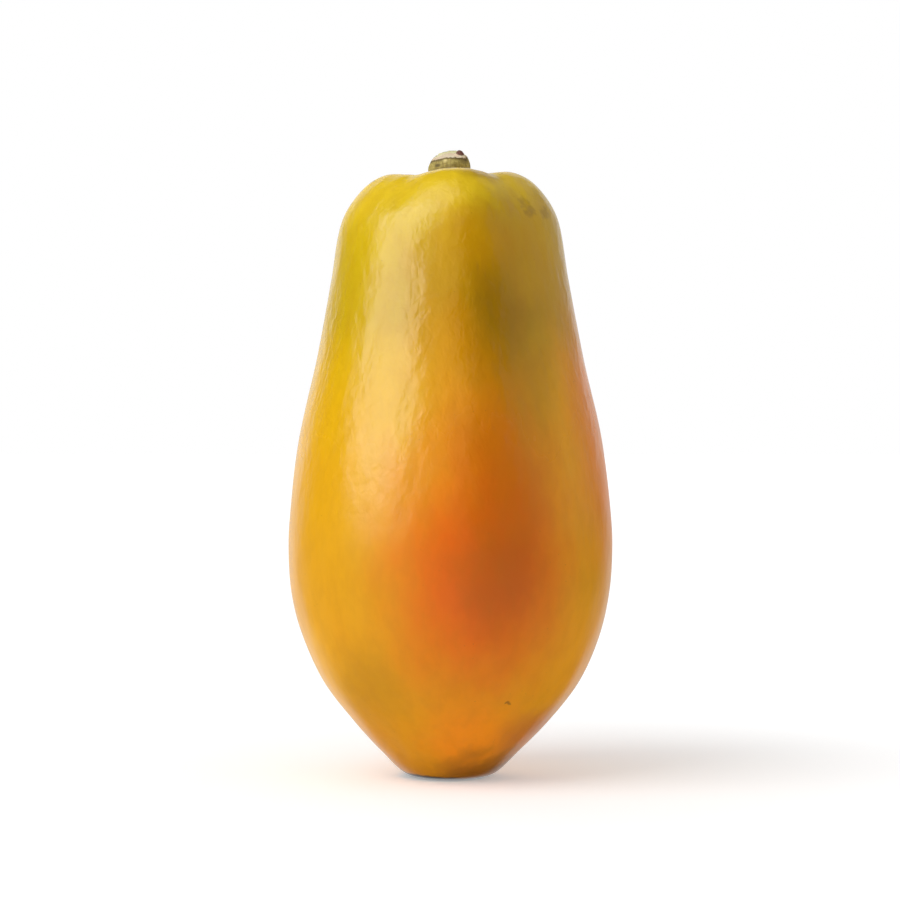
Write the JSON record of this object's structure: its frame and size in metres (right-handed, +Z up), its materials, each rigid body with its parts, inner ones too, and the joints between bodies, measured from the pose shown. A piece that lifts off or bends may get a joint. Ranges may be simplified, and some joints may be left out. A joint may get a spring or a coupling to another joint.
{
  "type": "papaya",
  "caption": "Whole ripe papaya, pear-shaped with a lobed shoulder and the cut stub of its stalk, standing on its blossom end.",
  "frame": {"origin": "centre of the small flat spot under the blossom end that the fruit stands on", "axes": "+Z up the fruit's axis from the blossom end to the stalk, -Y out of its front"},
  "size_m": [0.1278, 0.1286, 0.2474],
  "materials": {
    "papaya_skin": "satin waxy fruit skin, orange over the belly, olive and yellow on the neck",
    "dry_stalk": "dry fibrous green-brown stalk with a pale cut face"
  },
  "bodies": {
    "root": {"papaya_fruit": "papaya_skin", "stem_stub": "dry_stalk"}
  },
  "joints": []
}
